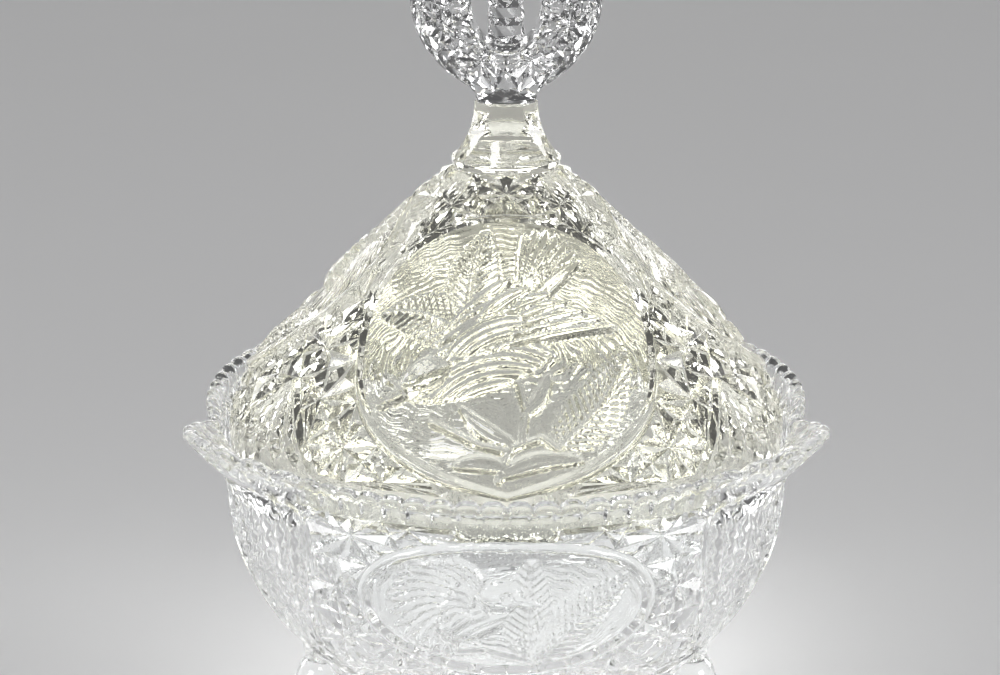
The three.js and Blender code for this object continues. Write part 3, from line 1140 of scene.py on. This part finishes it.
def ring_face():
    """The front face: eight stars round the hole, with a kite between each two at the edge."""
    sheet = Sheet()

    def middle(a, b):
        return ((a[0] + b[0]) / 2, (a[1] + b[1]) / 2)

    def half():
        for k in range(4):
            low, beta, high = -90 + 45 * k, -67.5 + 45 * k, -45 + 45 * k
            first, last = round_at(STAR_RIM, low), round_at(STAR_RIM, high)
            ends = [hole_at(0.9, low), middle(hole_at(0.9, low), first), first,
                    round_at(KITE_SIDE, low + 8), round_at(23.4, beta), round_at(KITE_SIDE, high - 8),
                    last, middle(hole_at(0.9, high), last), hole_at(0.9, high), hole_at(0.9, beta)]
            sheet.star(round_at(17.0, beta), ends, deep=-1.7, edge=-1.0, top=0.2)
        for k in range(5):
            angle = -90 + 45 * k
            inner, outer = round_at(STAR_RIM, angle), round_at(23.7, angle)
            after, before = round_at(KITE_SIDE, angle + 8), round_at(KITE_SIDE, angle - 8)
            peak = sheet.spot(round_at(21.0, angle), 0.35)
            if k < 4:
                for a, b in ((inner, after), (after, outer)):
                    sheet.crease([sheet.spot(a, -0.7), sheet.spot(b, -0.2), peak])
            if k > 0:
                sheet.crease([sheet.spot(inner, -0.7), sheet.spot(before, -0.7), peak])
        for place_at, size, steps, lift in (
            (round_at, 24.0, RING_STEPS, 0.1), (round_at, RING_RADIUS, RING_STEPS, 0.0),
            (hole_at, 0.0, HOLE_STEPS, 0.0), (hole_at, 0.5, HOLE_STEPS, 0.0),
        ):
            places = [place_at(size, -90 + 360 / steps * i) for i in range(steps // 2 + 1)]
            sheet.line(places, lift, soft=False)

    both_sides(sheet, half)

    border = sheet.on_line(lambda spot: math.hypot(*spot), RING_RADIUS,
                           lambda spot: math.atan2(spot[1], spot[0]))
    plane, lifts, _, faces = sheet.triangles(border)
    middles = plane[faces].mean(axis=1)
    solid = np.hypot(middles[:, 0] / HOLE[0], (middles[:, 1] + HOLE_DROP) / HOLE[1]) > 1
    return ring_place(plane, lifts), faces[solid]


def closed_line(place_at, size, steps):
    plane = np.array([place_at(size, -90 + 360 / steps * i) for i in range(steps)])
    return ring_place(plane, np.zeros(steps))


def make_ring(material):
    skin = Skin()
    points, faces = ring_face()
    used = np.unique(faces)
    order = np.zeros(len(points), int)
    order[used] = np.arange(len(used))
    points, faces = points[used], order[faces]
    back = points * [1, -1, 1]
    skin.patch(points, faces, [False] * len(faces))
    skin.patch(back, faces, [False] * len(faces))
    outer = closed_line(round_at, RING_RADIUS, RING_STEPS)
    skin.rings([outer, outer * [1, -1, 1]])
    hole = closed_line(hole_at, 0, HOLE_STEPS)
    depths = np.linspace(1, -1, 7)
    skin.rings([hole * [1, depth, 1] for depth in depths])
    return skin.piece("finial_ring_glass", material)


def make_spindle(material):
    """An eight-sided post with notched bulges, which stands on the hole's bottom."""
    skin = Skin()
    theta = circle(8)
    centre = RING_CENTRE - HOLE_DROP
    gap = 0.15

    def end_ring(radius, side):
        ring = upright(radius, theta, 0.0)
        share = np.clip(ring[:, 0] / (HOLE[0] - gap), -1, 1)
        ring[:, 2] = centre + side * (HOLE[1] - gap) * np.sqrt(1 - share**2)
        return ring

    rings = [end_ring(2.2, -1), end_ring(4.6, -1)]
    half_step = math.pi / 8
    for i in range(BULGES):
        height = centre + (BULGE_PITCH * (i + 1) - HOLE[1])
        rings.append(upright(5.2 if i % 2 else 4.3, theta + half_step * (i % 2), height))
    rings += [end_ring(4.6, 1), end_ring(2.2, 1)]
    skin.rings(rings, smooth=False)
    skin.cap(rings[0], (0, 0, centre - HOLE[1] + gap))
    skin.cap(rings[-1], (0, 0, centre + HOLE[1] - gap))
    return skin.piece("finial_spindle_glass", material)


add_camera()
add_studio()
add_floor()

straw = glass_material("straw_glass", (0.985, 0.98, 0.90), (0.975, 0.965, 0.86))
clear = glass_material("clear_glass", (0.985, 0.99, 0.99), (0.97, 0.98, 0.98))
finial = glass_material("finial_glass", (0.99, 0.99, 0.99), (0.98, 0.985, 0.985))

for piece, node, body, slot in (
    (make_bowl(clear), "bowl", "bowl", "clear_glass"),
    (make_lid(straw), "lid", "lid", "straw_glass"),
    (make_ring(finial), "finial_ring", "lid", "finial_glass"),
    (make_spindle(finial), "finial_spindle", "lid", "finial_glass"),
):
    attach(piece, body)
    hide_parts(node)

bpy.context.scene.view_settings.view_transform = "Standard"
cycles = bpy.context.scene.cycles
cycles.max_bounces = 32
cycles.transmission_bounces = 32
cycles.glossy_bounces = 24
